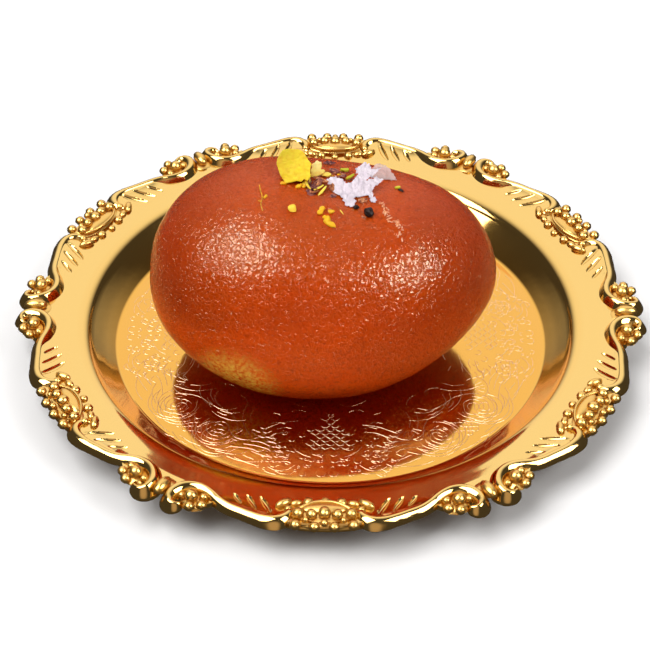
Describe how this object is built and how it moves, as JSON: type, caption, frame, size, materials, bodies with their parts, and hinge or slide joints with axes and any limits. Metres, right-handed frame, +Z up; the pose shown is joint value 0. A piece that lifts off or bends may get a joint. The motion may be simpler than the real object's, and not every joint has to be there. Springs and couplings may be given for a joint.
{
  "type": "gulab jamun on a small gilt tray",
  "caption": "Long syrup-soaked fried milk-dough sweet with pistachio, silver leaf and cardamom on top, resting in the well of a round gilt tray with a cast scroll-and-bead rim.",
  "frame": {"origin": "centre of the tray's flat underside, on the surface the tray stands on", "axes": "+Z up, +X along the sweet's length towards its narrower end, -Y towards the front"},
  "size_m": [0.1264, 0.1238, 0.046],
  "materials": {
    "gilt_metal": "polished gold plating over a cast and pressed tray",
    "syrup_soaked_dough": "deep-fried milk dough, wet and glossy with sugar syrup, finely wrinkled",
    "pistachio": "cut pistachio kernel, dull, pale yellow-green",
    "silver_leaf": "crumpled edible silver foil",
    "cardamom": "dark, rough, ribbed seed",
    "saffron": "dried red thread, slightly wet"
  },
  "bodies": {
    "root": {"dish": "gilt_metal", "gulab_jamun": "syrup_soaked_dough", "pistachio_chunk": "pistachio", "pistachio_slice": "pistachio", "silver_leaf": "silver_leaf", "silver_flake": "silver_leaf", "cardamom_seed": "cardamom"}
  },
  "joints": []
}
